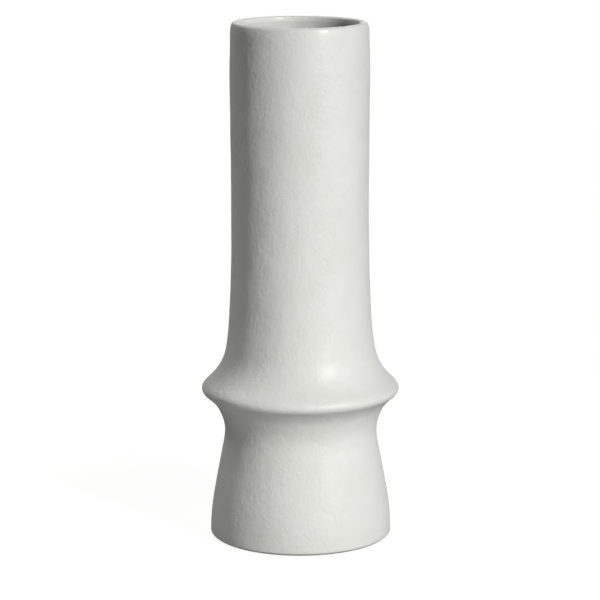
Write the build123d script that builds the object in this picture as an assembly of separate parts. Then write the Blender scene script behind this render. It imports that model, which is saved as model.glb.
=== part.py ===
from build123d import *
import math
import os
from typing import NamedTuple

# A tall stoneware vase: a straight tube whose skirt flares down to a rounded collar, over a waist
# and a flared foot. Millimetres, +Z up, origin at the middle of the face that it stands on.
# Two thrown sections and a floor slab are luted together with slip, then glazed inside and out.

# Overall form, measured on the glazed surface
HEIGHT = 300.0
FOOT_RADIUS = 52.7
WAIST_HEIGHT = 62.4
WAIST_DRAW = 8.35         # the waist is drawn in from the foot by this
COLLAR_RISE = 25.1        # from the waist up to the widest line of the collar
COLLAR_OVERHANG = 13.05   # from the waist out to that line
SKIRT_RISE = 50.0         # from the collar up to the neck, where the tube begins
NECK_FLARE = 1.2          # the neck is wider than the tube's narrowest line by this
TUBE_RADIUS = 39.57       # at the tube's narrowest line
TUBE_SWELL = 0.48         # the upper tube is wider than that line by this
RIM_TUCK = 0.4            # and draws in again below the lip by this

# Clay walls, from glazed face to glazed face
WALL = 5.5
BASE_WALL = 10.4          # a thrown wall is left thick where it stands
COLLAR_WALL = 11.0        # and where two flared rims meet

# Foot and floor
FOOT_EDGE = 2.2           # rounding of the foot's outer edge
RING_EDGE = 0.8           # rounding of the standing ring's inner edge
FLOOR_RECESS = 4.0        # the floor's underside is this far above the standing ring
FLOOR_THICKNESS = 6.0
LEDGE = 2.0               # the floor is let into the wall by this
COIL = 5.0                # rounding in the inside corner

# Seams and glaze
SLIP = 0.6
TONGUE_WIDTH = 3.5
TONGUE_HEIGHT = 2.5
GLAZE = 0.5
DRY_ANGLE = 35.0          # the glaze stops this many degrees round the foot's edge


class Bend(NamedTuple):
    """Where a curve turns between two levels: shares of the rise and of the change in radius,
    and the slope there as a multiple of the mean slope."""
    up: float
    out: float
    steep: float


# How the outline curves between its levels
FLARE_BEND = Bend(0.82, 0.84, 1.37)
COVE_BEND = Bend(0.526, 0.276, 0.97)
UNDERSIDE_BEND = Bend(0.86, 0.847, 2.43)
BELL_BEND = Bend(0.094, 0.197, 3.22)
SKIRT_BEND = Bend(0.462, 0.845, 0.533)
NECK_STEEPNESS = 0.14     # slope at the neck as a multiple of the skirt's mean slope
NARROW_AT = 0.40          # share of the tube's length, from the neck up, where it is narrowest
SWELL_AT = 0.84           # and where it is widest


class Station(NamedTuple):
    """One level of an outline: its height, its radius, and the radius gained per unit of height."""
    height: float
    radius: float
    slope: float = 0.0


def mean_slope(lower, upper):
    """The radius gained per unit of height from one station to another."""
    return (upper.radius - lower.radius) / (upper.height - lower.height)


def turning(lower, upper, bend):
    """The station where the curve from lower to upper bends."""
    return Station(
        lower.height + bend.up * (upper.height - lower.height),
        lower.radius + bend.out * (upper.radius - lower.radius),
        bend.steep * mean_slope(lower, upper),
    )


def inset(station, depth):
    """The station moved square to the surface, into the wall, by depth."""
    length = math.hypot(1, station.slope)
    return Station(
        station.height + depth * station.slope / length,
        station.radius - depth / length,
        station.slope,
    )


# Levels of the glazed outside, from the foot up
LIP = WALL / 2
FOOT = Station(FOOT_EDGE, FOOT_RADIUS)
WAIST = Station(WAIST_HEIGHT, FOOT_RADIUS - WAIST_DRAW)
COLLAR = Station(WAIST.height + COLLAR_RISE, WAIST.radius + COLLAR_OVERHANG)
NECK_LEVEL = Station(COLLAR.height + SKIRT_RISE, TUBE_RADIUS + NECK_FLARE)
NECK = NECK_LEVEL._replace(slope=NECK_STEEPNESS * mean_slope(COLLAR, NECK_LEVEL))
RIM = Station(HEIGHT - LIP, TUBE_RADIUS + TUBE_SWELL - RIM_TUCK)
TUBE_LENGTH = RIM.height - NECK.height
NARROW = Station(NECK.height + NARROW_AT * TUBE_LENGTH, TUBE_RADIUS)
SWELL = Station(NECK.height + SWELL_AT * TUBE_LENGTH, TUBE_RADIUS + TUBE_SWELL)
FLARE = turning(FOOT, WAIST, FLARE_BEND)
COVE = turning(WAIST, COLLAR, COVE_BEND)
UNDERSIDE = turning(WAIST, COLLAR, UNDERSIDE_BEND)
BELL = turning(COLLAR, NECK, BELL_BEND)
SKIRT = turning(COLLAR, NECK, SKIRT_BEND)

# Levels and radii of the clay inside
FLOOR_TOP = FLOOR_RECESS + FLOOR_THICKNESS
LEDGE_HEIGHT = FLOOR_TOP + SLIP
COIL_TOP = FLOOR_TOP + COIL
BORE_RADIUS = FOOT_RADIUS - BASE_WALL + GLAZE
REBATE_RADIUS = BORE_RADIUS + LEDGE
FLOOR_RADIUS = REBATE_RADIUS - SLIP
COIL_RADIUS = BORE_RADIUS - COIL
FOOT_CLAY_RADIUS = FOOT_RADIUS - GLAZE

# The collar seam, in the middle of the collar's clay
SEAM_HEIGHT = COLLAR.height - SLIP / 2
TONGUE_RADIUS = COLLAR.radius - COLLAR_WALL / 2

# A quarter circle passes its middle at this share of its radius, along both axes
MIDWAY = math.cos(math.radians(45))


def outside(skin):
    """Stations of the outside, from foot to rim, under a skin of this thickness."""
    levels = [FOOT, FLARE, WAIST, COVE, UNDERSIDE, COLLAR, BELL, SKIRT, NECK, NARROW, SWELL, RIM]
    return [inset(level, skin) for level in levels]


def inside(skin):
    """Stations of the inside, from the coil to the rim, under a skin of this thickness."""
    depth = WALL - skin
    base = Station(COIL_TOP, FOOT_RADIUS - BASE_WALL + skin)
    hollow = Station(COLLAR.height, COLLAR.radius - COLLAR_WALL + skin)
    lower = [inset(level, depth) for level in (FLARE, WAIST, COVE)]
    upper = [inset(level, depth) for level in (SKIRT, NECK, NARROW, SWELL, RIM)]
    return [base, *lower, hollow, *upper]


def at(radius, height):
    """A point of the half section, which lies in the XZ plane."""
    return Vector(radius, 0, height)


def level_at(stations, height):
    """The station at a height on the cubic curves through the stations."""
    span = max(i for i in range(len(stations) - 1) if stations[i].height <= height)
    lower, upper = stations[span], stations[span + 1]
    rise = upper.height - lower.height
    share = (height - lower.height) / rise
    gain = mean_slope(lower, upper)
    turn = lower.slope + upper.slope - 2 * gain
    lean = 3 * gain - 2 * lower.slope - upper.slope
    return Station(
        height,
        lower.radius + rise * share * (lower.slope + share * (lean + share * turn)),
        lower.slope + share * (2 * lean + 3 * share * turn),
    )


def curve(stations, start=-math.inf, upto=math.inf):
    """Cubic curves through the stations, with their slopes, from a start height up to another."""
    levels = [level for level in stations if start < level.height < upto]
    if start > stations[0].height:
        levels.insert(0, level_at(stations, start))
    if upto < stations[-1].height:
        levels.append(level_at(stations, upto))
    spans = []
    for lower, upper in zip(levels, levels[1:]):
        third = (upper.height - lower.height) / 3
        spans.append(Bezier(
            at(lower.radius, lower.height),
            at(lower.radius + lower.slope * third, lower.height + third),
            at(upper.radius - upper.slope * third, upper.height - third),
            at(upper.radius, upper.height),
        ))
    return spans


def lip(skin):
    """Half circle over the rim, under a skin of this thickness."""
    middle = RIM.radius - LIP
    round_radius = LIP - skin
    return ThreePointArc(
        at(middle + round_radius, RIM.height),
        at(middle, RIM.height + round_radius),
        at(middle - round_radius, RIM.height),
    )


def glaze_seam():
    """Line across the glaze at the inner side of the lip, where the two glazes meet."""
    return Line(at(RIM.radius - WALL, RIM.height), at(RIM.radius - WALL + GLAZE, RIM.height))


def foot_edge(degrees):
    """Point on the clay's rounded foot edge, so many degrees below its side."""
    angle = math.radians(degrees)
    middle = FOOT_CLAY_RADIUS - FOOT_EDGE
    return at(middle + FOOT_EDGE * math.cos(angle), FOOT_EDGE - FOOT_EDGE * math.sin(angle))


def foot_edge_arc(degrees):
    """The clay's rounded foot edge from its side down to so many degrees."""
    return ThreePointArc(foot_edge(0), foot_edge(degrees / 2), foot_edge(degrees))


def corner(skin):
    """Hollow arc of the inside corner, from floor to wall, with a skin of this thickness on it."""
    swing = COIL - skin
    diagonal = swing * MIDWAY
    return ThreePointArc(
        at(COIL_RADIUS, COIL_TOP - swing),
        at(COIL_RADIUS + diagonal, COIL_TOP - diagonal),
        at(COIL_RADIUS + swing, COIL_TOP),
    )


def turned(edges):
    """The solid that a half section with these edges sweeps round the axis."""
    return revolve(make_face(edges), axis=Axis.Z)


def seam(gap):
    """Points along the collar seam, from the inside out. A gap of 0 gives the side with the tongue,
    and a gap as thick as the slip gives the side with the groove."""
    face = SEAM_HEIGHT + gap
    inner = level_at(inside(GLAZE), face)
    outer = level_at(outside(GLAZE), face)
    side = TONGUE_WIDTH / 2 + gap
    return [
        at(inner.radius, face),
        at(TONGUE_RADIUS - side, face),
        at(TONGUE_RADIUS - side, face + TONGUE_HEIGHT),
        at(TONGUE_RADIUS + side, face + TONGUE_HEIGHT),
        at(TONGUE_RADIUS + side, face),
        at(outer.radius, face),
    ]


def foot_section():
    """Lower section: standing ring, rebate for the floor, flared foot, waist, collar's underside."""
    walls = [*curve(outside(GLAZE), upto=SEAM_HEIGHT), *curve(inside(GLAZE), upto=SEAM_HEIGHT)]
    bottom = Line(at(FOOT_CLAY_RADIUS - FOOT_EDGE, 0), at(REBATE_RADIUS + RING_EDGE, 0))
    rounding = RING_EDGE * (1 - MIDWAY)
    ring_edge = ThreePointArc(
        at(REBATE_RADIUS + RING_EDGE, 0),
        at(REBATE_RADIUS + rounding, rounding),
        at(REBATE_RADIUS, RING_EDGE),
    )
    rebate = Polyline(
        at(REBATE_RADIUS, RING_EDGE),
        at(REBATE_RADIUS, LEDGE_HEIGHT),
        at(BORE_RADIUS, LEDGE_HEIGHT),
        at(BORE_RADIUS, COIL_TOP),
    )
    rim = Polyline(*seam(0))
    return turned([*walls, *rim.edges(), foot_edge_arc(90), bottom, ring_edge, *rebate.edges()])


def trumpet_section():
    """Upper section: the collar's top, the skirt, the tube and its round lip."""
    start = SEAM_HEIGHT + SLIP
    walls = [*curve(outside(GLAZE), start), *curve(inside(GLAZE), start)]
    rim = Polyline(*seam(SLIP))
    return turned([*walls, lip(GLAZE), *rim.edges()])


def collar_slip():
    """Slip between the tongue and the groove of the two sections."""
    top = SEAM_HEIGHT + SLIP
    ends = [*curve(outside(GLAZE), SEAM_HEIGHT, top), *curve(inside(GLAZE), SEAM_HEIGHT, top)]
    tongue = Polyline(*seam(0))
    groove = Polyline(*seam(SLIP))
    return turned([*ends, *tongue.edges(), *groove.edges()])


def floor_disc():
    """Slab that closes the bottom, pushed up against the ledge from below."""
    slab = Polyline(
        at(0, FLOOR_RECESS),
        at(FLOOR_RADIUS, FLOOR_RECESS),
        at(FLOOR_RADIUS, FLOOR_TOP),
        at(0, FLOOR_TOP),
        close=True,
    )
    return turned(slab.edges())


def floor_slip():
    """Slip round the edge of the slab and under the ledge."""
    angle = Polyline(
        at(FLOOR_RADIUS, FLOOR_RECESS),
        at(REBATE_RADIUS, FLOOR_RECESS),
        at(REBATE_RADIUS, LEDGE_HEIGHT),
        at(BORE_RADIUS, LEDGE_HEIGHT),
        at(BORE_RADIUS, FLOOR_TOP),
        at(FLOOR_RADIUS, FLOOR_TOP),
        close=True,
    )
    return turned(angle.edges())


def corner_coil():
    """Coil of clay pressed into the corner between the slab and the wall."""
    corner_sides = Polyline(
        at(COIL_RADIUS, FLOOR_TOP),
        at(BORE_RADIUS, FLOOR_TOP),
        at(BORE_RADIUS, COIL_TOP),
    )
    return turned([corner(0), *corner_sides.edges()])


def outer_glaze():
    """Glaze on the outside and over the lip, thinning to nothing above the dry foot."""
    dry_line = foot_edge(DRY_ANGLE)
    roll = TangentArc(at(FOOT_RADIUS, FOOT_EDGE), dry_line, tangent=at(0, -1))
    glazed = [*curve(outside(0)), lip(0)]
    bare = [*curve(outside(GLAZE)), lip(GLAZE), foot_edge_arc(DRY_ANGLE)]
    return turned([*glazed, *bare, roll, glaze_seam()])


def inner_glaze():
    """Glaze on the floor, the corner and the inside wall, up to the lip."""
    floor_face = Polyline(
        at(COIL_RADIUS, FLOOR_TOP),
        at(0, FLOOR_TOP),
        at(0, FLOOR_TOP + GLAZE),
        at(COIL_RADIUS, FLOOR_TOP + GLAZE),
    )
    glazed = [corner(GLAZE), *curve(inside(0))]
    bare = [corner(0), *curve(inside(GLAZE))]
    return turned([*floor_face.edges(), *glazed, *bare, glaze_seam()])


PIECES = (
    trumpet_section,
    foot_section,
    floor_disc,
    collar_slip,
    floor_slip,
    corner_coil,
    outer_glaze,
    inner_glaze,
)

os.makedirs("parts", exist_ok=True)
for piece in PIECES:
    export_step(piece(), f"parts/{piece.__name__}.step")
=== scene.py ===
"""Looks of a tall stoneware vase: its two glaze coats, its bare clay and a plain studio.

The forms are worked out in millimetres on the glazed surface, as a potter would measure them, and
become metres where a mesh is made. X runs to the right, Y away from the camera and Z up.
"""

import logging
import math
from dataclasses import dataclass
from enum import Enum
from typing import Any

import bpy
import numpy as np
from mathutils import Matrix, Vector
from numpy.typing import NDArray


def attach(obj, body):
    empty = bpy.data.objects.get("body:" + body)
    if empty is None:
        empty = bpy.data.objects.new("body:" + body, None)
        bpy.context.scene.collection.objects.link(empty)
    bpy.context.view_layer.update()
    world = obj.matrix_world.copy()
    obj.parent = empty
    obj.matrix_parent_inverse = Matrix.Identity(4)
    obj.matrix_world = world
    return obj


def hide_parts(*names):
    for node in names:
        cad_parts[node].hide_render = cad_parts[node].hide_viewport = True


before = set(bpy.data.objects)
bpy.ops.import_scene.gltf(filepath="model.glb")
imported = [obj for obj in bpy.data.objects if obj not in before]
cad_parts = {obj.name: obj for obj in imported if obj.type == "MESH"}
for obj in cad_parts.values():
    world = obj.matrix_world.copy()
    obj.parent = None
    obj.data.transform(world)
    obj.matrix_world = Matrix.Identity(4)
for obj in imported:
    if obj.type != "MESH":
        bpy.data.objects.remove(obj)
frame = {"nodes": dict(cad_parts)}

LOG = logging.getLogger("vase")
METRE = 1000.0                  # millimetres in one
NOISE_SPAN = (0.3, 0.7)         # where most values of a noise texture lie
NOISE_MIDDLE = sum(NOISE_SPAN) / 2.0
RINGS_PER_TURN = 20.0           # a ring texture at scale 1 repeats this often over 2 pi units
SAME_POINT = 1e-9               # points of a line closer than this are one
DEPTH_NAME = "glaze_depth"      # attribute that holds how thick a coat is
Array = NDArray[np.float64]
Tree = bpy.types.NodeTree
Socket = bpy.types.NodeSocket


class Body(Enum):
    """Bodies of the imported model."""
    ROOT = "root"


class Slot(Enum):
    """Material slot names that the glaze finishes hold; nothing in this script reads them."""
    SATIN_GLAZE = "satin_glaze"
    LINER_GLAZE = "liner_glaze"


# Outline of the vase


@dataclass(frozen=True)
class Station:
    """One level of an outline: its height, its radius, and the radius gained per unit of height."""
    height: float
    radius: float
    slope: float = 0.0

    def inset(self, depth: float) -> "Station":
        """The station moved square to the surface, into the wall, by depth."""
        step = depth / math.hypot(1.0, self.slope)
        return Station(self.height + step * self.slope, self.radius - step, self.slope)


@dataclass(frozen=True)
class Bend:
    """Where a curve turns between two stations, and how steeply.

    The place is given as shares of the rise and of the change in radius, and the slope there as a
    multiple of the mean slope.
    """
    up: float
    out: float
    steep: float

    def between(self, lower: Station, upper: Station) -> Station:
        """The station where the curve bends.

        Args:
            lower: where the curve starts.
            upper: where it ends.

        Returns:
            The station between them.
        """
        rise = upper.height - lower.height
        gain = upper.radius - lower.radius
        slope = self.steep * gain / rise
        return Station(lower.height + self.up * rise, lower.radius + self.out * gain, slope)


@dataclass(frozen=True)
class VaseOutline:
    """Sizes of the vase, and the lines of its half section that follow from them."""
    height: float = 300.0
    foot_radius: float = 52.7
    waist_height: float = 62.4
    waist_draw: float = 8.35
    collar_rise: float = 25.1
    collar_overhang: float = 13.05
    skirt_rise: float = 50.0
    neck_flare: float = 1.2
    tube_radius: float = 39.57
    tube_swell: float = 0.48
    rim_tuck: float = 0.4
    wall: float = 5.5
    base_wall: float = 10.4
    collar_wall: float = 11.0
    foot_edge: float = 2.2
    floor_top: float = 10.0
    coil: float = 5.0
    glaze: float = 0.5
    lip_square: tuple[float, float] = (3.4, 5.0)    # of the lip's outer and inner side; 2 is a circle
    lip_thin: float = 0.3           # the glaze ran off the lip: this much thinner at the rim, outside
    lip_reach: float = 6.0          # and no thinner this far below it
    lip_clearance: float = 0.015    # keeps the lip's top under the full height
    dry_angle: float = 35.0         # degrees round the foot's edge, down to where the glaze ends
    neck_steepness: float = 0.14    # slope at the neck as a share of the skirt's mean slope
    narrow_at: float = 0.40         # where the tube is narrowest and widest, as shares of its length
    swell_at: float = 0.84
    flare_bend: Bend = Bend(0.82, 0.84, 1.37)
    cove_bend: Bend = Bend(0.526, 0.276, 0.97)
    underside_bend: Bend = Bend(0.86, 0.847, 2.43)
    bell_bend: Bend = Bend(0.094, 0.197, 3.22)
    skirt_bend: Bend = Bend(0.462, 0.845, 0.533)

    @property
    def foot(self) -> Station:
        """Where the foot's side meets its rounded edge."""
        return Station(self.foot_edge, self.foot_radius)

    @property
    def waist(self) -> Station:
        """Narrowest line between the foot and the collar."""
        return Station(self.waist_height, self.foot_radius - self.waist_draw)

    @property
    def collar(self) -> Station:
        """Widest line of the collar."""
        return Station(self.waist_height + self.collar_rise, self.waist.radius + self.collar_overhang)

    @property
    def neck(self) -> Station:
        """Where the skirt passes into the tube.

        Returns:
            The station there.
        """
        radius = self.tube_radius + self.neck_flare
        slope = self.neck_steepness * (radius - self.collar.radius) / self.skirt_rise
        return Station(self.collar.height + self.skirt_rise, radius, slope)

    @property
    def rim(self) -> Station:
        """Where the tube's outer side meets the round lip."""
        return Station(self.height - self.wall / 2, self.tube_radius + self.tube_swell - self.rim_tuck)

    def tube(self) -> list[Station]:
        """The tube above the neck: its narrowest line, its widest and the rim.

        Returns:
            Their stations.
        """
        length = self.rim.height - self.neck.height
        return [
            Station(self.neck.height + self.narrow_at * length, self.tube_radius),
            Station(self.neck.height + self.swell_at * length, self.tube_radius + self.tube_swell),
            self.rim,
        ]

    def outside(self, skin: float) -> Array:
        """Outer side from the foot up to the rim.

        Args:
            skin: thickness taken off the glazed surface; 0 is the glaze, the glaze's own is the clay.

        Returns:
            Points as rows of radius and height.
        """
        levels = [
            self.foot, self.flare_bend.between(self.foot, self.waist), self.waist,
            self.cove_bend.between(self.waist, self.collar),
            self.underside_bend.between(self.waist, self.collar), self.collar,
            self.bell_bend.between(self.collar, self.neck),
            self.skirt_bend.between(self.collar, self.neck), self.neck, *self.tube(),
        ]
        return cubic_line([level.inset(skin) for level in levels])

    def inside(self, skin: float) -> Array:
        """Inner side from the corner coil up to the rim.

        Args:
            skin: thickness taken off the glazed surface, towards the clay.

        Returns:
            Points as rows of radius and height.
        """
        depth = self.wall - skin
        base = Station(self.floor_top + self.coil, self.foot_radius - self.base_wall + skin)
        hollow = Station(self.collar.height, self.collar.radius - self.collar_wall + skin)
        lower = [
            self.flare_bend.between(self.foot, self.waist), self.waist,
            self.cove_bend.between(self.waist, self.collar),
        ]
        upper = [self.skirt_bend.between(self.collar, self.neck), self.neck, *self.tube()]
        inner = [[level.inset(depth) for level in levels] for levels in (lower, upper)]
        return cubic_line([base, *inner[0], hollow, *inner[1]])

    def clay_lip(self) -> Array:
        """Half circle over the clay's lip, from its outer to its inner side."""
        middle = (self.rim.radius - self.wall / 2, self.rim.height)
        return arc(middle, self.wall / 2 - self.glaze, 0.0, 180.0)

    def glazed_lip(self, steps: int = 128) -> Array:
        """The glaze over the lip, flatter on top than the clay's half circle.

        Across and up are the cosine and the sine to the power 2 / lip_square, times the width on
        that side of the lip's middle and the height over the rim.

        Args:
            steps: how many points.

        Returns:
            Points as rows of radius and height, from the lip's outer to its inner side.
        """
        angle = np.linspace(0.0, np.pi, steps)
        outer = angle < np.pi / 2
        half = self.wall / 2
        power = 2.0 / np.where(outer, *self.lip_square)
        up = (half - self.lip_clearance) * np.abs(np.sin(angle)) ** power
        width = half - np.where(outer, self.thinning(self.rim.height + up), 0.0)
        across = width * np.sign(np.cos(angle)) * np.abs(np.cos(angle)) ** power
        return np.stack([self.rim.radius - half + across, self.rim.height + up], axis=1)

    def thinning(self, height: Array) -> Array:
        """How much thinner the glaze is near the lip: by the cube of the share of the reach passed."""
        share = np.maximum((height - self.rim.height) / self.lip_reach + 1.0, 0.0)
        return self.lip_thin * share**3

    def thinned(self, line: Array) -> Array:
        """An outer line drawn in by the glaze's thinning."""
        return line - np.stack([self.thinning(line[:, 1]), np.zeros(len(line))], axis=1)

    def foot_arc(self) -> Array:
        """The clay's rounded foot edge, from its side down to the line where the glaze ends."""
        centre = (self.foot_radius - self.glaze - self.foot_edge, self.foot_edge)
        return arc(centre, self.foot_edge, 0.0, -self.dry_angle)

    def roll(self) -> Array:
        """The glaze's rolled lower edge, from the dry line up to the foot's side.

        The arc is upright where it meets the side. Through a point that lies a in and b down from
        there, the radius is (a² + b²) / 2a.

        Returns:
            Points as rows of radius and height.
        """
        end = self.foot_arc()[-1]
        across = self.foot_radius - end[0]
        down = self.foot_edge - end[1]
        radius = (across**2 + down**2) / (2.0 * across)
        angle = math.degrees(math.atan2(down, radius - across))
        return arc((self.foot_radius - radius, self.foot_edge), radius, -angle, 0.0)

    def corner(self, skin: float) -> Array:
        """Hollow quarter circle between the floor and the inner wall, with a skin on the clay."""
        clay_radius = self.foot_radius - self.base_wall + self.glaze
        return arc((clay_radius - self.coil, self.floor_top + self.coil), self.coil - skin, -90.0, 0.0)


def cubic_line(stations: list[Station], steps: int = 64) -> Array:
    """Points along cubic curves through stations.

    On each span the height rises evenly, and the radius is the cubic that has the radius and the
    slope of the stations at both its ends.

    Args:
        stations: levels from the lowest up.
        steps: points on each span.

    Returns:
        Points as rows of radius and height.
    """
    height, radius, slope = np.array([(s.height, s.radius, s.slope) for s in stations]).T
    share = np.linspace(0.0, 1.0, steps, endpoint=False)[None, :]
    rest = 1.0 - share
    rise = np.diff(height)[:, None]
    out = (
        (1.0 + 2.0 * share) * rest**2 * radius[:-1, None]
        + share * rest**2 * rise * slope[:-1, None]
        + (1.0 + 2.0 * rest) * share**2 * radius[1:, None]
        - rest * share**2 * rise * slope[1:, None]
    )
    up = height[:-1, None] + rise * share
    points = np.stack([out.ravel(), up.ravel()], axis=1)
    return np.vstack([points, [radius[-1], height[-1]]])


def arc(centre: tuple[float, float], radius: float, start: float, stop: float, steps: int = 64) -> Array:
    """Points on a circle: the centre plus the radius times the cosine and sine of even angles.

    Args:
        centre: radius and height of the circle's middle.
        radius: the circle's own radius.
        start: first angle in degrees, from the outward direction.
        stop: last angle in degrees.
        steps: how many points.

    Returns:
        Points as rows of radius and height.
    """
    angle = np.radians(np.linspace(start, stop, steps))
    return np.array(centre) + radius * np.stack([np.cos(angle), np.sin(angle)], axis=1)


def spaced(points: Array, rows: int, bend_length: float) -> Array:
    """A line with its points spread for a mesh.

    Steps are even in length plus bend_length times the angle turned, in radians, so that they
    close up where the line bends.

    Args:
        points: rows of radius and height, close together.
        rows: how many points the new line has.
        bend_length: length in millimetres that a radian of turning counts for.

    Returns:
        The line's new points.
    """
    step = np.diff(points, axis=0)
    kept = np.concatenate([[True], np.hypot(*step.T) > SAME_POINT])
    line = points[kept]
    step = np.diff(line, axis=0)
    turned = np.abs(np.diff(np.unwrap(np.arctan2(step[:, 1], step[:, 0])), prepend=np.nan))
    turned[0] = 0.0
    measure = np.concatenate([[0.0], np.cumsum(np.hypot(*step.T) + bend_length * turned)])
    even = np.linspace(0.0, measure[-1], rows)
    return np.stack([np.interp(even, measure, values) for values in line.T], axis=1)


def facing(points: Array) -> Array:
    """Unit normals of a line: its direction turned a quarter to the right.

    Args:
        points: rows of radius and height.

    Returns:
        A normal for each point.
    """
    along = np.gradient(points, axis=0)
    along /= np.hypot(*along.T)[:, None]
    return np.stack([along[:, 1], -along[:, 0]], axis=1)


def smooth_step(value: Array, low: float, high: float) -> Array:
    """0 below low, 1 above high, and 3t² - 2t³ between them."""
    share = np.clip((value - low) / (high - low), 0.0, 1.0)
    return share * share * (3.0 - 2.0 * share)


# The maker's hand


@dataclass(frozen=True)
class ThrownRelief:
    """How far a glazed face lies off the true turned form, in millimetres."""
    seed: int = 11
    lean: float = 0.16              # the walls stand this far to one side at the waist
    lean_reach: float = 70.0        # and come back over this height
    oval: float = 0.07
    ring_depth: float = 0.012
    ring_pitch: float = 8.5
    flow: float = 0.05              # slow thick and thin places in the glaze
    flow_waves: int = 36
    flow_length: tuple[float, float] = (18.0, 70.0)
    tilt: float = 0.12              # the lip is this much lower on its right side
    tilt_reach: float = 30.0

    def depth(self, outline: VaseOutline, angle: Array, height: Array) -> Array:
        """Offset of the face along its normal.

        A lean, cos a, fades by a bell curve above and below the waist. An oval, cos 2a, turns
        slowly with the height. Throwing rings are a sine of the height plus one turn of the angle,
        a helix. Slow waves, cos(m a + q z + p), have whole m and drawn q and p.

        Args:
            outline: the vase's sizes.
            angle: angles round the axis.
            height: heights of the rows.

        Returns:
            Offsets for every row and angle.
        """
        draw = np.random.default_rng(self.seed)
        turn = angle[None, :]
        rise = height[:, None]
        bell = np.exp(-(((rise - outline.waist_height) / self.lean_reach) ** 2))
        lean = self.lean * np.cos(turn) * bell
        oval = self.oval * np.cos(2.0 * turn + 2.0 * rise / outline.height)
        rings = self.ring_depth * np.sin(2.0 * np.pi * rise / self.ring_pitch + turn)
        length = draw.uniform(*self.flow_length, self.flow_waves)[:, None, None]
        heading = draw.uniform(0.0, 2.0 * np.pi, self.flow_waves)[:, None, None]
        phase = draw.uniform(0.0, 2.0 * np.pi, self.flow_waves)[:, None, None]
        number = 2.0 * np.pi / length
        around = np.round(number * np.cos(heading) * outline.tube_radius)
        upward = number * np.sin(heading)
        waves = np.cos(around * turn[None] + upward * rise[None] + phase).sum(axis=0)
        flow = self.flow * waves / math.sqrt(self.flow_waves / 2.0)
        return lean + oval + rings + flow

    def sink(self, outline: VaseOutline, angle: Array, height: Array) -> Array:
        """How far the lip drops: most on the right, half of it in the middle, fading down the tube."""
        fade = smooth_step(height, outline.height - self.tilt_reach, outline.rim.height)
        return self.tilt * fade[:, None] * (1.0 + np.cos(angle[None, :])) / 2.0


# Meshes


def grid_faces(rows: int, columns: int, closed: bool) -> list[list[int]]:
    """Faces of a grid that wraps round the axis, pointing to the right of the way that its rows run.

    Point number row * columns + column meets its neighbours in the next column and the next row.
    A closed grid's last row meets its first. An open one ends in two poles, the two points after
    the grid, each joined to the nearest row by a fan of triangles.

    Args:
        rows: rows of points.
        columns: points in a row.
        closed: whether the rows close into a ring.

    Returns:
        Corner numbers of each face.
    """
    column = np.arange(columns)
    after = (column + 1) % columns
    row = np.arange(rows if closed else rows - 1)[:, None]
    this = row * columns
    following = (row + 1) % rows * columns
    quads = np.stack([this + column, this + after, following + after, following + column], axis=-1)
    faces = quads.reshape(-1, 4).tolist()
    if not closed:
        last = (rows - 1) * columns
        first_pole = np.full(columns, rows * columns)
        faces += np.stack([first_pole, after, column], axis=-1).tolist()
        faces += np.stack([last + column, last + after, first_pole + 1], axis=-1).tolist()
    return faces


def make_piece(
    name: str,
    points: Array,
    faces: list[list[int]],
    crease: float = 40.0,
) -> bpy.types.Object:
    """A smooth mesh object at the origin.

    Args:
        name: the piece's name.
        points: rows of X, Y and Z in millimetres.
        faces: corner numbers of each face.
        crease: edges that turn by more than this many degrees stay sharp.

    Returns:
        The new object.
    """
    mesh = bpy.data.meshes.new(name)
    mesh.from_pydata(points / METRE, [], faces)
    mesh.shade_smooth()
    mesh.set_sharp_from_angle(angle=math.radians(crease))
    mesh.validate()
    piece = bpy.data.objects.new(name, mesh)
    bpy.context.scene.collection.objects.link(piece)
    return piece


# Finishes


def linear(hex_colour: str) -> tuple[float, float, float, float]:
    """Linear colour with full alpha, by the sRGB curve: a straight foot, then a power.

    Args:
        hex_colour: an sRGB value such as #DCDDD8.

    Returns:
        Red, green, blue and alpha.
    """
    levels = np.array([int(hex_colour[i:i + 2], 16) for i in (1, 3, 5)]) / 255.0
    red, green, blue = np.where(levels <= 0.04045, levels / 12.92, ((levels + 0.055) / 1.055) ** 2.4)
    return float(red), float(green), float(blue), 1.0


def add_node(
    tree: Tree,
    kind: str,
    inputs: dict[str, Any] | None = None,
    **settings: Any,
) -> dict[str, Socket]:
    """Add one shader node.

    Args:
        tree: where the node goes.
        kind: the node's type without its ShaderNode prefix.
        inputs: socket identifiers, each with a plain value or another node's output to link.
        settings: the node's own properties.

    Returns:
        The new node's output sockets by identifier.
    """
    node = tree.nodes.new(f"ShaderNode{kind}")
    for name, value in settings.items():
        setattr(node, name, value)
    sockets = {socket.identifier: socket for socket in node.inputs}
    for identifier, value in (inputs or {}).items():
        if isinstance(value, Socket):
            tree.links.new(value, sockets[identifier])
        else:
            sockets[identifier].default_value = value
    return {socket.identifier: socket for socket in node.outputs}


def bumped(tree: Tree, parts: tuple[tuple[Socket, float], ...]) -> Socket:
    """Surface normal with fine relief.

    Args:
        tree: where the nodes go.
        parts: patterns, each with the height in millimetres that a value of 1 stands for.

    Returns:
        The normal's socket.
    """
    height: Socket | float = 0.0
    for pattern, depth in parts:
        height = add_node(tree, "Math", {
            "Value": pattern,
            "Value_001": depth,
            "Value_002": height,
        }, operation="MULTIPLY_ADD")["Value"]
    return add_node(tree, "Bump", {"Height": height, "Distance": 1.0 / METRE})["Normal"]


def empty_tree(name: str) -> tuple[bpy.types.Material, Tree]:
    """A new material without nodes.

    Args:
        name: the material's name.

    Returns:
        The material and its empty node tree.
    """
    material = bpy.data.materials.new(name)
    material.use_nodes = True
    material.node_tree.nodes.clear()
    return material, material.node_tree


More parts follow.
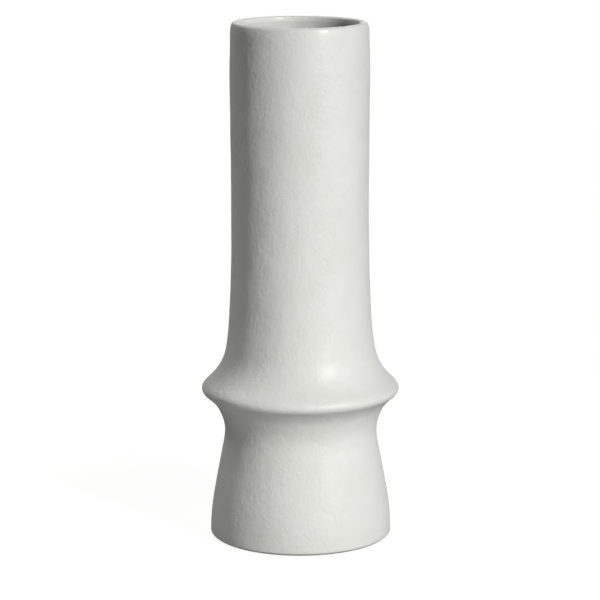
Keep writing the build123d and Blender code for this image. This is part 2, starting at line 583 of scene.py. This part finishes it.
@dataclass(frozen=True)
class SatinGlaze:
    """Grey-white dolomite glaze, fired to stoneware heat.

    Fine crystals in it scatter the light, so highlights are soft and the edges of the form stay
    dull. Its skin is finely grained, rougher and pitted in patches, with slow swellings, and the
    tone is paler and cooler where the glaze lies thick. The grain of the real skin is partly finer
    than a picture shows, and is drawn about 2 mm wide. Sizes are in millimetres.
    """
    name: str
    slot: Slot
    thick_tone: str = "#E0E1DD"
    thin_tone: str = "#D3D3CD"
    pit_tone: str = "#8E8D86"
    depth_range: tuple[float, float] = (0.3, 0.7)   # of the coat, from the thin tone to the thick one
    roughness: tuple[float, float] = (0.35, 0.45)   # in the hollows of the swellings and on them
    lip_roughness: float = 0.25     # the lip was wiped before firing and shines a little more
    lip_span: tuple[float, float] = (-0.5, 1.5)     # heights from the rim over which it begins to
    mirror_share: float = 0.03      # what the crystals mirror at every angle, the edges included
    draw_out: float = 1.25          # the glaze ran a little: its grain is this much longer than wide
    grain: float = 2.2
    grain_depth: float = 0.26
    grain_detail: float = 2.0
    patch: float = 11.0             # the skin is rougher in patches about this wide
    calm_share: float = 0.35        # of the grain that is left outside them
    swelling: float = 7.0
    swelling_depth: float = 0.3
    swelling_detail: float = 2.0
    grain_tint: float = 0.2         # share of the grain, against the swellings, in the tone
    surface_tint: float = 0.45      # share of both, against the coat's own depth
    pit_width: float = 1.3
    pit_spacing: float = 2.6
    pit_shares: tuple[float, float] = (0.05, 0.9)   # of cells with a pit, outside a patch and in it
    pit_depth: float = 0.13
    # share by which the middle of each pit is darkened towards pit_tone
    pit_darkening: float = 0.02

    def material(self, rim_height: float) -> bpy.types.Material:
        """The glaze as a material: tone, gloss and fine relief from the same grain.

        Args:
            rim_height: where the lip begins.

        Returns:
            The new material.
        """
        material, tree = empty_tree(self.name)
        place = add_node(tree, "TexCoord")["Object"]
        drawn = add_node(tree, "Mapping", {
            "Vector": place,
            "Scale": (1.0, 1.0, 1.0 / self.draw_out),
        })["Vector"]
        grain = add_node(tree, "TexNoise", {
            "Vector": drawn,
            "Scale": METRE / self.grain,
            "Detail": self.grain_detail,
        })["Fac"]
        swelling = add_node(tree, "TexNoise", {
            "Vector": drawn,
            "Scale": METRE / self.swelling,
            "Detail": self.swelling_detail,
        })["Fac"]
        patch = add_node(tree, "TexNoise", {"Vector": drawn, "Scale": METRE / self.patch})["Fac"]
        pits = self.pits(tree, drawn, patch)
        skin = add_node(tree, "Mix", {
            "Factor_Float": self.in_patches(tree, patch, self.calm_share, 1.0),
            "A_Float": NOISE_MIDDLE,
            "B_Float": grain,
        })["Result_Float"]
        shader = add_node(tree, "BsdfPrincipled", {
            "Base Color": self.colour(tree, grain, swelling, pits),
            "Roughness": self.gloss(tree, place, swelling, rim_height),
            "Metallic": self.mirror_share,
            "Specular IOR Level": 0.0,
            "Normal": bumped(tree, (
                (skin, self.grain_depth),
                (swelling, self.swelling_depth),
                (pits, -self.pit_depth),
            )),
        })
        add_node(tree, "OutputMaterial", {"Surface": shader["BSDF"]})
        return material

    def gloss(self, tree: Tree, place: Socket, swelling: Socket, rim_height: float) -> Socket:
        """Roughness that follows the swellings and passes to the smoother lip above the rim.

        Args:
            tree: where the nodes go.
            place: coordinates on the vase.
            swelling: the slow pattern.
            rim_height: where the lip begins.

        Returns:
            The roughness's socket.
        """
        satin = add_node(tree, "MapRange", {
            "Value": swelling,
            "From Min": NOISE_SPAN[0],
            "From Max": NOISE_SPAN[1],
            "To Min": self.roughness[0],
            "To Max": self.roughness[1],
        })["Result"]
        lip = add_node(tree, "MapRange", {
            "Value": add_node(tree, "SeparateXYZ", {"Vector": place})["Z"],
            "From Min": (rim_height + self.lip_span[0]) / METRE,
            "From Max": (rim_height + self.lip_span[1]) / METRE,
        }, interpolation_type="SMOOTHSTEP")["Result"]
        return add_node(tree, "Mix", {
            "Factor_Float": lip,
            "A_Float": satin,
            "B_Float": self.lip_roughness,
        })["Result_Float"]

    def in_patches(self, tree: Tree, patch: Socket, outside: float, inside: float) -> Socket:
        """A value that passes smoothly from one outside the patches to another inside them.

        Args:
            tree: where the node goes.
            patch: the noise that makes the patches.
            outside: the value where the noise is low.
            inside: the value where it is high.

        Returns:
            The value's socket.
        """
        return add_node(tree, "MapRange", {
            "Value": patch,
            "From Min": NOISE_SPAN[0],
            "From Max": NOISE_SPAN[1],
            "To Min": outside,
            "To Max": inside,
        }, interpolation_type="SMOOTHSTEP")["Result"]

    def pits(self, tree: Tree, place: Socket, patch: Socket) -> Socket:
        """Round pits: points of a cell pattern, most of them in patches.

        Args:
            tree: where the nodes go.
            place: coordinates to draw the cells in.
            patch: the noise that makes the patches.

        Returns:
            The socket of a value that is 1 in the middle of each pit and 0 outside them.
        """
        cells = add_node(tree, "TexVoronoi", {"Vector": place, "Scale": METRE / self.pit_spacing})
        hollow = add_node(tree, "MapRange", {
            "Value": cells["Distance"],
            "From Min": 0.0,
            "From Max": self.pit_width / 2.0 / self.pit_spacing,
            "To Min": 1.0,
            "To Max": 0.0,
        }, interpolation_type="SMOOTHSTEP")["Result"]
        chosen = add_node(tree, "Math", {
            "Value": cells["Color"],
            "Value_001": self.in_patches(tree, patch, *self.pit_shares),
        }, operation="LESS_THAN")["Value"]
        return add_node(tree, "Math", {
            "Value": hollow,
            "Value_001": chosen,
        }, operation="MULTIPLY")["Value"]

    def colour(self, tree: Tree, grain: Socket, swelling: Socket, pits: Socket) -> Socket:
        """Tone from thin to thick glaze, by the coat's depth and its grain, darker towards pit_tone in
        the middle of each pit.

        Args:
            tree: where the nodes go.
            grain: the fine pattern.
            swelling: the slow pattern.
            pits: 1 in the middle of each pit.

        Returns:
            The colour's socket.
        """
        thickness = add_node(tree, "MapRange", {
            "Value": add_node(tree, "Attribute", attribute_name=DEPTH_NAME)["Fac"],
            "From Min": self.depth_range[0],
            "From Max": self.depth_range[1],
        })["Result"]
        surface = add_node(tree, "Mix", {
            "Factor_Float": self.grain_tint,
            "A_Float": swelling,
            "B_Float": grain,
        })["Result_Float"]
        tone = add_node(tree, "Mix", {
            "Factor_Float": self.surface_tint,
            "A_Float": thickness,
            "B_Float": surface,
        })["Result_Float"]
        body = add_node(tree, "Mix", {
            "Factor_Float": tone,
            "A_Color": linear(self.thin_tone),
            "B_Color": linear(self.thick_tone),
        }, data_type="RGBA")["Result_Color"]
        # the middle of each pit is darkened towards pit_tone
        pit_darkening_share = add_node(tree, "Math", {
            "Value": pits,
            "Value_001": self.pit_darkening,
        }, operation="MULTIPLY")["Value"]
        return add_node(tree, "Mix", {
            "Factor_Float": pit_darkening_share,
            "A_Color": body,
            "B_Color": linear(self.pit_tone),
        }, data_type="RGBA")["Result_Color"]


@dataclass(frozen=True)
class BareStoneware:
    """Fired clay without glaze: matt and faintly gritty, with the rings that turning left on it.

    Sizes are in millimetres.
    """
    name: str
    tone: str = "#CFCAC0"
    dark_tone: str = "#BAB3A8"
    grog_tone: str = "#DED9CE"
    roughness: float = 0.86
    grog: float = 0.7
    grog_detail: float = 2.0
    grog_span: tuple[float, float] = (0.6, 0.75)    # values of the grit where a speck begins and is full
    grit_depth: float = 0.08
    cloud: float = 9.0
    cloud_detail: float = 3.0
    ring_pitch: float = 1.6
    ring_depth: float = 0.05
    ring_wobble: float = 0.6
    ring_detail: float = 1.0

    def material(self) -> bpy.types.Material:
        """The clay as a material: clouded tone, grog specks, turning rings and grit.

        Returns:
            The new material.
        """
        material, tree = empty_tree(self.name)
        place = add_node(tree, "TexCoord")["Object"]
        cloud = add_node(tree, "TexNoise", {
            "Vector": place,
            "Scale": METRE / self.cloud,
            "Detail": self.cloud_detail,
        })["Fac"]
        grit = add_node(tree, "TexNoise", {
            "Vector": place,
            "Scale": METRE / self.grog,
            "Detail": self.grog_detail,
        })["Fac"]
        rings = add_node(tree, "TexWave", {
            "Vector": place,
            "Scale": 2.0 * math.pi / RINGS_PER_TURN * METRE / self.ring_pitch,
            "Distortion": self.ring_wobble,
            "Detail": self.ring_detail,
        }, wave_type="RINGS", rings_direction="Z")["Fac"]
        shade = add_node(tree, "MapRange", {
            "Value": cloud,
            "From Min": NOISE_SPAN[0],
            "From Max": NOISE_SPAN[1],
        })["Result"]
        body = add_node(tree, "Mix", {
            "Factor_Float": shade,
            "A_Color": linear(self.dark_tone),
            "B_Color": linear(self.tone),
        }, data_type="RGBA")["Result_Color"]
        specks = add_node(tree, "MapRange", {
            "Value": grit,
            "From Min": self.grog_span[0],
            "From Max": self.grog_span[1],
        })["Result"]
        colour = add_node(tree, "Mix", {
            "Factor_Float": specks,
            "A_Color": body,
            "B_Color": linear(self.grog_tone),
        }, data_type="RGBA")["Result_Color"]
        shader = add_node(tree, "BsdfPrincipled", {
            "Base Color": colour,
            "Roughness": self.roughness,
            "Normal": bumped(tree, ((rings, self.ring_depth), (grit, self.grit_depth))),
        })
        add_node(tree, "OutputMaterial", {"Surface": shader["BSDF"]})
        return material


# Dipped: a thick coat, so the eye sees a pale skin with a soft sheen, and grain where the light grazes
OUTER_FINISH = SatinGlaze("dolomite_satin_glaze_dipped", Slot.SATIN_GLAZE)

# Poured in and out again: a thinner coat, so the eye sees the same glaze smoother and a little greyer;
# part of that darker tone is painted shade for the shaded inside of the vase
LINER_FINISH_WITH_PAINTED_SHADE = SatinGlaze(
    "dolomite_satin_glaze_poured_painted_shade",
    Slot.LINER_GLAZE,
    thick_tone="#D2D3CF",
    thin_tone="#C6C6C0",
    grain_depth=0.1,
    swelling_depth=0.2,
    pit_shares=(0.05, 0.4),
)

# Thrown and left bare: the eye sees dry buff clay with pale grog and the turning rings of the foot
CLAY_FINISH = BareStoneware("buff_stoneware_thrown")

# Luted with slip: clay without its coarse grog, so the seam reads as a paler, smoother line
SLIP_FINISH = BareStoneware(
    "stoneware_slip_luted",
    tone="#D4CDC2",
    dark_tone="#C2BAAD",
    grog=0.4,
    ring_depth=0.02,
    grit_depth=0.03,
)


# Pieces


@dataclass(frozen=True)
class GlazeCoat:
    """What the two glaze coats share: the sizes, the maker's hand and the finish."""
    outline: VaseOutline
    hand: ThrownRelief
    name: str
    node: str
    finish: SatinGlaze
    columns: int
    face_rows: int                  # of points on the glazed side
    back_rows: int                  # and on the clay
    bend_length: float = 8.0        # length that a radian of bend counts for in spacing the rows
    lip_fade: float = 12.0          # height below the rim over which the relief fades

    def glazed(self, face: Array, hold: Array, angle: Array) -> tuple[Array, Array]:
        """The glazed side as a grid, with the maker's relief on it.

        Each point is (r cos a, r sin a, z), moved along the face's normal by the relief where it is
        free to, and down by the sunken lip.

        Args:
            face: rows of radius and height.
            hold: share of the relief that each row takes.
            angle: angles round the axis.

        Returns:
            Points by row, column and axis, and the glaze's depth by row and column.
        """
        offset = hold[:, None] * self.hand.depth(self.outline, angle, face[:, 1])
        sunk = self.hand.sink(self.outline, angle, face[:, 1])
        normal = facing(face)
        radius = face[:, :1] + normal[:, :1] * offset
        height = face[:, 1:] + normal[:, 1:] * offset - sunk
        return turned_grid(radius, height, angle), self.outline.glaze + offset

    def below_lip(self, face: Array) -> Array:
        """1 on the rows well below the lip, falling to 0 at the rim."""
        rim = self.outline.rim.height
        return 1.0 - smooth_step(face[:, 1], rim - self.lip_fade, rim)

    def finished(
        self,
        points: Array,
        depth: Array,
        closed: bool,
        poles: Array | None = None,
    ) -> bpy.types.Object:
        """Make the coat's mesh, dress it and set it in the frame.

        Args:
            points: grid of points, the glazed side and the side on the clay.
            depth: glaze depth at each point of the grid.
            closed: whether the rows close into a ring.
            poles: the two end points of an open grid.

        Returns:
            The finished piece.
        """
        rows, columns, _ = points.shape
        places = points.reshape(-1, 3)
        depths = depth.ravel()
        if poles is not None:
            places = np.vstack([places, poles])
            depths = np.concatenate([depths, np.full(len(poles), self.outline.glaze)])
        piece = make_piece(self.name, places, grid_faces(rows, columns, closed))
        attribute = piece.data.attributes.new(DEPTH_NAME, "FLOAT", "POINT")
        attribute.data.foreach_set("value", depths.astype(np.float32))
        piece.data.materials.append(self.finish.material(self.outline.rim.height))
        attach(piece, Body.ROOT.value)
        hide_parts(self.node)
        return piece


def turned_grid(radius: Array, height: Array, angle: Array) -> Array:
    """Points (r cos a, r sin a, z) of a grid turned about the axis.

    Args:
        radius: radii r by row, the same or different for each angle.
        height: heights z likewise.
        angle: angles a round the axis.

    Returns:
        Points by row, column and axis.
    """
    turn = angle[None, :]
    axes = np.broadcast_arrays(radius * np.cos(turn), radius * np.sin(turn), height)
    return np.stack(axes, axis=-1)


def round_angles(columns: int) -> Array:
    """Even angles once round the axis."""
    return np.linspace(0.0, 2.0 * np.pi, columns, endpoint=False)


@dataclass(frozen=True)
class OuterGlazeCoat(GlazeCoat):
    """Glaze on the outside and over the lip: a closed shell, as deep as the glaze is thick."""
    name: str = "outer_glaze_coat"
    node: str = "outer_glaze"
    finish: SatinGlaze = OUTER_FINISH
    columns: int = 300
    face_rows: int = 250
    back_rows: int = 64
    dry_rows: float = 14.0          # rows above the dry line over which the relief begins
    edge_reach: float = 14.0        # above and below the collar's edge, where the relief fades

    def build(self) -> bpy.types.Object:
        """The coat: up its glazed side from the dry foot, over the lip and back down on the clay.

        Returns:
            The finished piece.
        """
        form = self.outline
        angle = round_angles(self.columns)
        face_line = np.vstack([form.roll(), form.thinned(form.outside(0.0)), form.glazed_lip()])
        back_line = np.vstack([form.clay_lip()[::-1], form.outside(form.glaze)[::-1], form.foot_arc()])
        face = spaced(face_line, self.face_rows, self.bend_length)
        back = spaced(back_line, self.back_rows, self.bend_length)[:-1]
        glazed, depth = self.glazed(face, self.hold(face), angle)
        bare = turned_grid(back[:, :1], back[:, 1:], angle)
        points = np.concatenate([glazed, bare])
        depths = np.concatenate([depth, np.full(bare.shape[:2], form.glaze)])
        return self.finished(points, depths, closed=True)

    def hold(self, face: Array) -> Array:
        """Share of the relief by row: none at the dry line, the collar's edge and the lip.

        Round the collar's edge it is one less a bell curve of the height, so that nothing stands
        out past that edge.

        Args:
            face: rows of radius and height, from the dry line up.

        Returns:
            A share for each row.
        """
        begun = smooth_step(np.arange(len(face), dtype=float), 0.0, self.dry_rows)
        away = (face[:, 1] - self.outline.collar.height) / self.edge_reach
        return begun * self.below_lip(face) * (1.0 - np.exp(-(away**2)))


@dataclass(frozen=True)
class LinerGlazeCoat(GlazeCoat):
    """Glaze on the inner wall, the corner and the floor, up to the lip's inner side."""
    name: str = "liner_glaze_coat"
    node: str = "inner_glaze"
    finish: SatinGlaze = LINER_FINISH_WITH_PAINTED_SHADE
    columns: int = 240
    face_rows: int = 200
    back_rows: int = 60
    floor_steps: int = 40
    corner_reach: float = 4.0       # coil radii above the floor at which the relief is full

    def build(self) -> bpy.types.Object:
        """The coat: out and up on the clay, then down its glazed side to the middle of the floor.

        Returns:
            The finished piece.
        """
        form = self.outline
        angle = round_angles(self.columns)
        face_line = self.wall_line(0.0)[::-1]
        back_line = self.wall_line(form.glaze)
        face = spaced(face_line, self.face_rows, self.bend_length)[:-1]
        back = spaced(back_line, self.back_rows, self.bend_length)[1:]
        glazed, depth = self.glazed(face, self.hold(face), angle)
        bare = turned_grid(back[:, :1], back[:, 1:], angle)
        points = np.concatenate([bare, glazed])
        depths = np.concatenate([np.full(bare.shape[:2], form.glaze), depth])
        poles = np.array([[0.0, 0.0, form.floor_top], [0.0, 0.0, form.floor_top + form.glaze]])
        return self.finished(points, depths, closed=False, poles=poles)

    def wall_line(self, skin: float) -> Array:
        """Line from the middle of the floor out, round the corner and up the wall.

        Args:
            skin: thickness taken off the glazed surface, towards the clay.

        Returns:
            Points as rows of radius and height.
        """
        form = self.outline
        corner = form.corner(form.glaze - skin)
        floor = np.linspace([0.0, corner[0, 1]], corner[0], self.floor_steps)
        return np.vstack([floor, corner, form.inside(skin)])

    def hold(self, face: Array) -> Array:
        """Share of the relief by row: none at the lip and on the floor, all on the wall.

        Args:
            face: rows of radius and height, from the lip down.

        Returns:
            A share for each row.
        """
        form = self.outline
        full = form.floor_top + self.corner_reach * form.coil
        wall = smooth_step(face[:, 1], form.floor_top + form.coil, full)
        return wall * self.below_lip(face)


@dataclass(frozen=True)
class ClayBody:
    """The thrown sections, the floor, the coil and the slip between them, as the solids are."""
    clay_nodes: tuple[str, ...] = ("trumpet_section", "foot_section", "floor_disc", "corner_coil")
    slip_nodes: tuple[str, ...] = ("collar_slip", "floor_slip")

    def dress(self, nodes: dict[str, bpy.types.Object]) -> list[bpy.types.Object]:
        """Give every clay node its finish.

        Args:
            nodes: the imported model's objects by name.

        Returns:
            The dressed objects.
        """
        dressed = []
        for finish, names in ((CLAY_FINISH, self.clay_nodes), (SLIP_FINISH, self.slip_nodes)):
            material = finish.material()
            for name in names:
                solid = nodes[name]
                solid.data.materials.clear()
                solid.data.materials.append(material)
                dressed.append(solid)
        return dressed


# Studio


@dataclass(frozen=True)
class Softbox:
    """One area lamp that faces the vase."""
    name: str
    azimuth: float                  # degrees to the right of the camera
    elevation: float
    distance: float
    width: float
    height: float
    power: float                    # watts

    def hang(self, aim_height: float) -> None:
        """Place the lamp.

        Args:
            aim_height: height on the vase's axis that it faces.
        """
        lamp = bpy.data.lights.new(self.name, "AREA")
        lamp.shape = "RECTANGLE"
        lamp.size = self.width / METRE
        lamp.size_y = self.height / METRE
        lamp.energy = self.power
        azimuth = math.radians(self.azimuth)
        elevation = math.radians(self.elevation)
        away = Vector((
            math.sin(azimuth) * math.cos(elevation),
            -math.cos(azimuth) * math.cos(elevation),
            math.sin(elevation),
        ))
        box = bpy.data.objects.new(self.name, lamp)
        box.location = (away * self.distance + Vector((0.0, 0.0, aim_height))) / METRE
        box.rotation_euler = away.to_track_quat("Z", "Y").to_euler()
        box.visible_camera = False      # from some sides it stands in front of the vase
        bpy.context.scene.collection.objects.link(box)


@dataclass(frozen=True)
class Studio:
    """Pale floor, white surroundings, a tall softbox to the right, three weak lamps and the camera."""
    camera_side: float = -0.11          # to the right of the axis
    camera_distance: float = 1510.6     # in front of it
    camera_height: float = 445.0
    camera_pitch: float = 11.455        # degrees below level
    camera_roll: float = -0.1           # degrees, against the clock
    sensor_width: float = 36.0
    focal_length: float = 159.6
    aim_height: float = 150.0
    lamps: tuple[Softbox, ...] = (
        Softbox("key_softbox", azimuth=41.0, elevation=24.2, distance=3000.0,
                width=80.0, height=1750.0, power=91.5),
        Softbox("back_lamp", azimuth=-133.4, elevation=50.0, distance=1800.0,
                width=800.0, height=800.0, power=12.1),
        Softbox("front_fill", azimuth=-9.0, elevation=-8.4, distance=495.0,
                width=500.0, height=100.0, power=0.52),
        Softbox("rear_fill", azimuth=180.0, elevation=6.0, distance=1800.0,
                width=600.0, height=600.0, power=11.0),
    )
    white: str = "#FFFFFF"
    backdrop_cone: tuple[float, float] = (0.70, 0.95)   # cosines where the white behind begins, is full
    floor_reach: float = 450.0
    floor_sides: int = 96
    floor_tone: str = "#838381"
    floor_glow: float = 0.88            # what the camera sees of the floor without the lamps
    glow_ring: tuple[float, float] = (150.0, 420.0)     # from here out the glow rises to white

    def build(self) -> None:
        """Set up the floor, the surroundings, the lamps and the camera."""
        bpy.context.scene.view_settings.view_transform = "Standard"
        self.lay_floor()
        self.surround()
        for lamp in self.lamps:
            lamp.hang(self.aim_height)
        self.place_camera()

    def lay_floor(self) -> None:
        """A round sheet of paper under the vase, pale and near white where it is looked at.

        Its rim is a circle, (r cos a, r sin a, 0). Further out its glow rises to that of the
        surroundings, so that the rim doesn't show.
        """
        angle = round_angles(self.floor_sides)
        rim = turned_grid(np.array([[self.floor_reach]]), np.zeros((1, 1)), angle)[0]
        sheet = make_piece("studio_floor", rim, [list(range(self.floor_sides))])
        material, tree = empty_tree("studio_paper_matt")
        place = add_node(tree, "TexCoord")["Object"]
        out = add_node(tree, "VectorMath", {"Vector": place}, operation="LENGTH")["Value"]
        glow = add_node(tree, "MapRange", {
            "Value": out,
            "From Min": self.glow_ring[0] / METRE,
            "From Max": self.glow_ring[1] / METRE,
            "To Min": self.floor_glow,
            "To Max": 1.0,
        }, interpolation_type="SMOOTHSTEP")["Result"]
        strength = add_node(tree, "Math", {
            "Value": self.seen_rays(tree),
            "Value_001": glow,
        }, operation="MULTIPLY")["Value"]
        matt = add_node(tree, "BsdfDiffuse", {"Color": linear(self.floor_tone)})["BSDF"]
        shine = add_node(tree, "Emission", {"Strength": strength})["Emission"]
        both = add_node(tree, "AddShader", {"Shader": matt, "Shader_001": shine})["Shader"]
        add_node(tree, "OutputMaterial", {"Surface": both})
        sheet.data.materials.append(material)

    def surround(self) -> None:
        """White all round where it is looked at or mirrored; it lights the vase only from behind."""
        world = bpy.data.worlds.new("studio_surroundings")
        world.use_nodes = True
        tree = world.node_tree
        tree.nodes.clear()
        way = add_node(tree, "TexCoord")["Generated"]
        behind = add_node(tree, "SeparateXYZ", {"Vector": way})["Y"]
        backdrop = add_node(tree, "MapRange", {
            "Value": behind,
            "From Min": self.backdrop_cone[0],
            "From Max": self.backdrop_cone[1],
        }, interpolation_type="SMOOTHSTEP")["Result"]
        level = add_node(tree, "Mix", {
            "Factor_Float": self.seen_rays(tree),
            "A_Float": backdrop,
            "B_Float": 1.0,
        })["Result_Float"]
        light = add_node(tree, "Background", {
            "Color": linear(self.white),
            "Strength": level,
        })["Background"]
        add_node(tree, "OutputWorld", {"Surface": light})
        bpy.context.scene.world = world

    def seen_rays(self, tree: Tree) -> Socket:
        """1 for camera, mirrored and transmitted rays, and 0 for the rest.

        Args:
            tree: where the nodes go.

        Returns:
            The value's socket.
        """
        path = add_node(tree, "LightPath")
        seen = path["Is Camera Ray"]
        for kind in ("Is Glossy Ray", "Is Transmission Ray"):
            seen = add_node(tree, "Math", {
                "Value": seen,
                "Value_001": path[kind],
            }, operation="MAXIMUM")["Value"]
        return seen

    def place_camera(self) -> None:
        """The camera in front of the vase, looking slightly down on it."""
        lens = bpy.data.cameras.new("camera")
        lens.sensor_width = self.sensor_width
        lens.lens = self.focal_length
        camera = bpy.data.objects.new("camera", lens)
        camera.location = Vector((self.camera_side, -self.camera_distance, self.camera_height)) / METRE
        pitch = Matrix.Rotation(math.radians(90.0 - self.camera_pitch), 3, "X")
        roll = Matrix.Rotation(math.radians(self.camera_roll), 3, "Z")
        camera.rotation_euler = (pitch @ roll).to_euler()
        bpy.context.scene.collection.objects.link(camera)
        bpy.context.scene.camera = camera


def main() -> None:
    """Build the coats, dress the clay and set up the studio."""
    logging.basicConfig(level=logging.INFO, format="%(name)s: %(message)s")
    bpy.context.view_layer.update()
    outline = VaseOutline()
    hand = ThrownRelief()
    pieces = [
        OuterGlazeCoat(outline, hand).build(),
        LinerGlazeCoat(outline, hand).build(),
        *ClayBody().dress(frame["nodes"]),
    ]
    for piece in pieces:
        mesh = piece.data
        LOG.info("%s: %d points, %d faces", piece.name, len(mesh.vertices), len(mesh.polygons))
    Studio().build()


if __name__ == "__main__":
    main()
